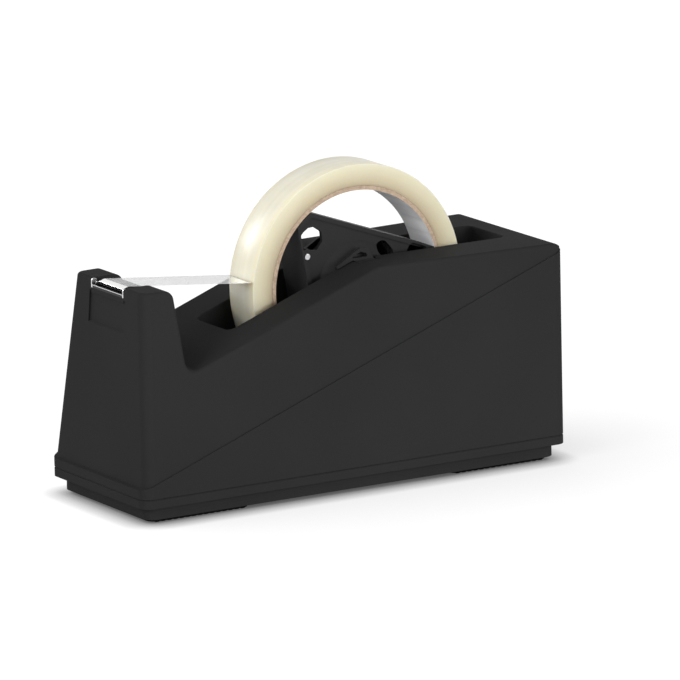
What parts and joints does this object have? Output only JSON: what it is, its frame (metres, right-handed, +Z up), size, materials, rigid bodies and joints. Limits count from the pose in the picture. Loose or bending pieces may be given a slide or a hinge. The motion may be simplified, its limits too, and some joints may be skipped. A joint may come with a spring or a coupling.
{
  "type": "tape dispenser",
  "caption": "Weighted bench tape dispenser: moulded housing with a steel cutter, a tape well, and a loaded roll on a three-sided hub and axle.",
  "frame": {"origin": "on the desk under the middle of the overall box", "axes": "+X from the cutter to the back, +Y across the width, +Z up"},
  "size_m": [0.198, 0.077, 0.1277],
  "materials": {
    "charcoal_moulding": "fine satin texture",
    "dark_moulding": "satin",
    "foot_rubber": "matte",
    "screw_steel": "plain zinc",
    "blade_steel": "bright rolled sheet",
    "ballast_iron": "as cast",
    "kraft_core": "kraft board",
    "wound_film": "translucent wound film",
    "clear_film": "clear film"
  },
  "bodies": {
    "body": {"housing": "charcoal_moulding", "base_tray": "charcoal_moulding", "base_screws": "screw_steel", "front_foot_pad": "foot_rubber", "rear_foot_pad": "foot_rubber", "front_ballast": "ballast_iron", "centre_ballast": "ballast_iron", "rear_ballast": "ballast_iron", "blade_mount": "charcoal_moulding", "cutter_blade": "blade_steel"},
    "axle_set": {"axle": "screw_steel", "near_axle_carrier": "dark_moulding", "far_axle_carrier": "dark_moulding", "tape_leader": "clear_film"},
    "roll": {"core_drum": "dark_moulding", "near_hub_half": "dark_moulding", "far_hub_half": "dark_moulding", "hub_dowel": "screw_steel", "tape_core": "kraft_core", "tape_roll": "wound_film"}
  },
  "joints": [
    {"name": "hub_lift", "type": "slide", "parent": "body", "child": "axle_set", "axis": [0, 0, 1], "range_m": [0, 0.065]},
    {"name": "roll_spin", "type": "hinge", "parent": "axle_set", "child": "roll", "pos_m": [0.0183, 0, 0.079], "axis": [0, 1, 0], "continuous": true}
  ]
}
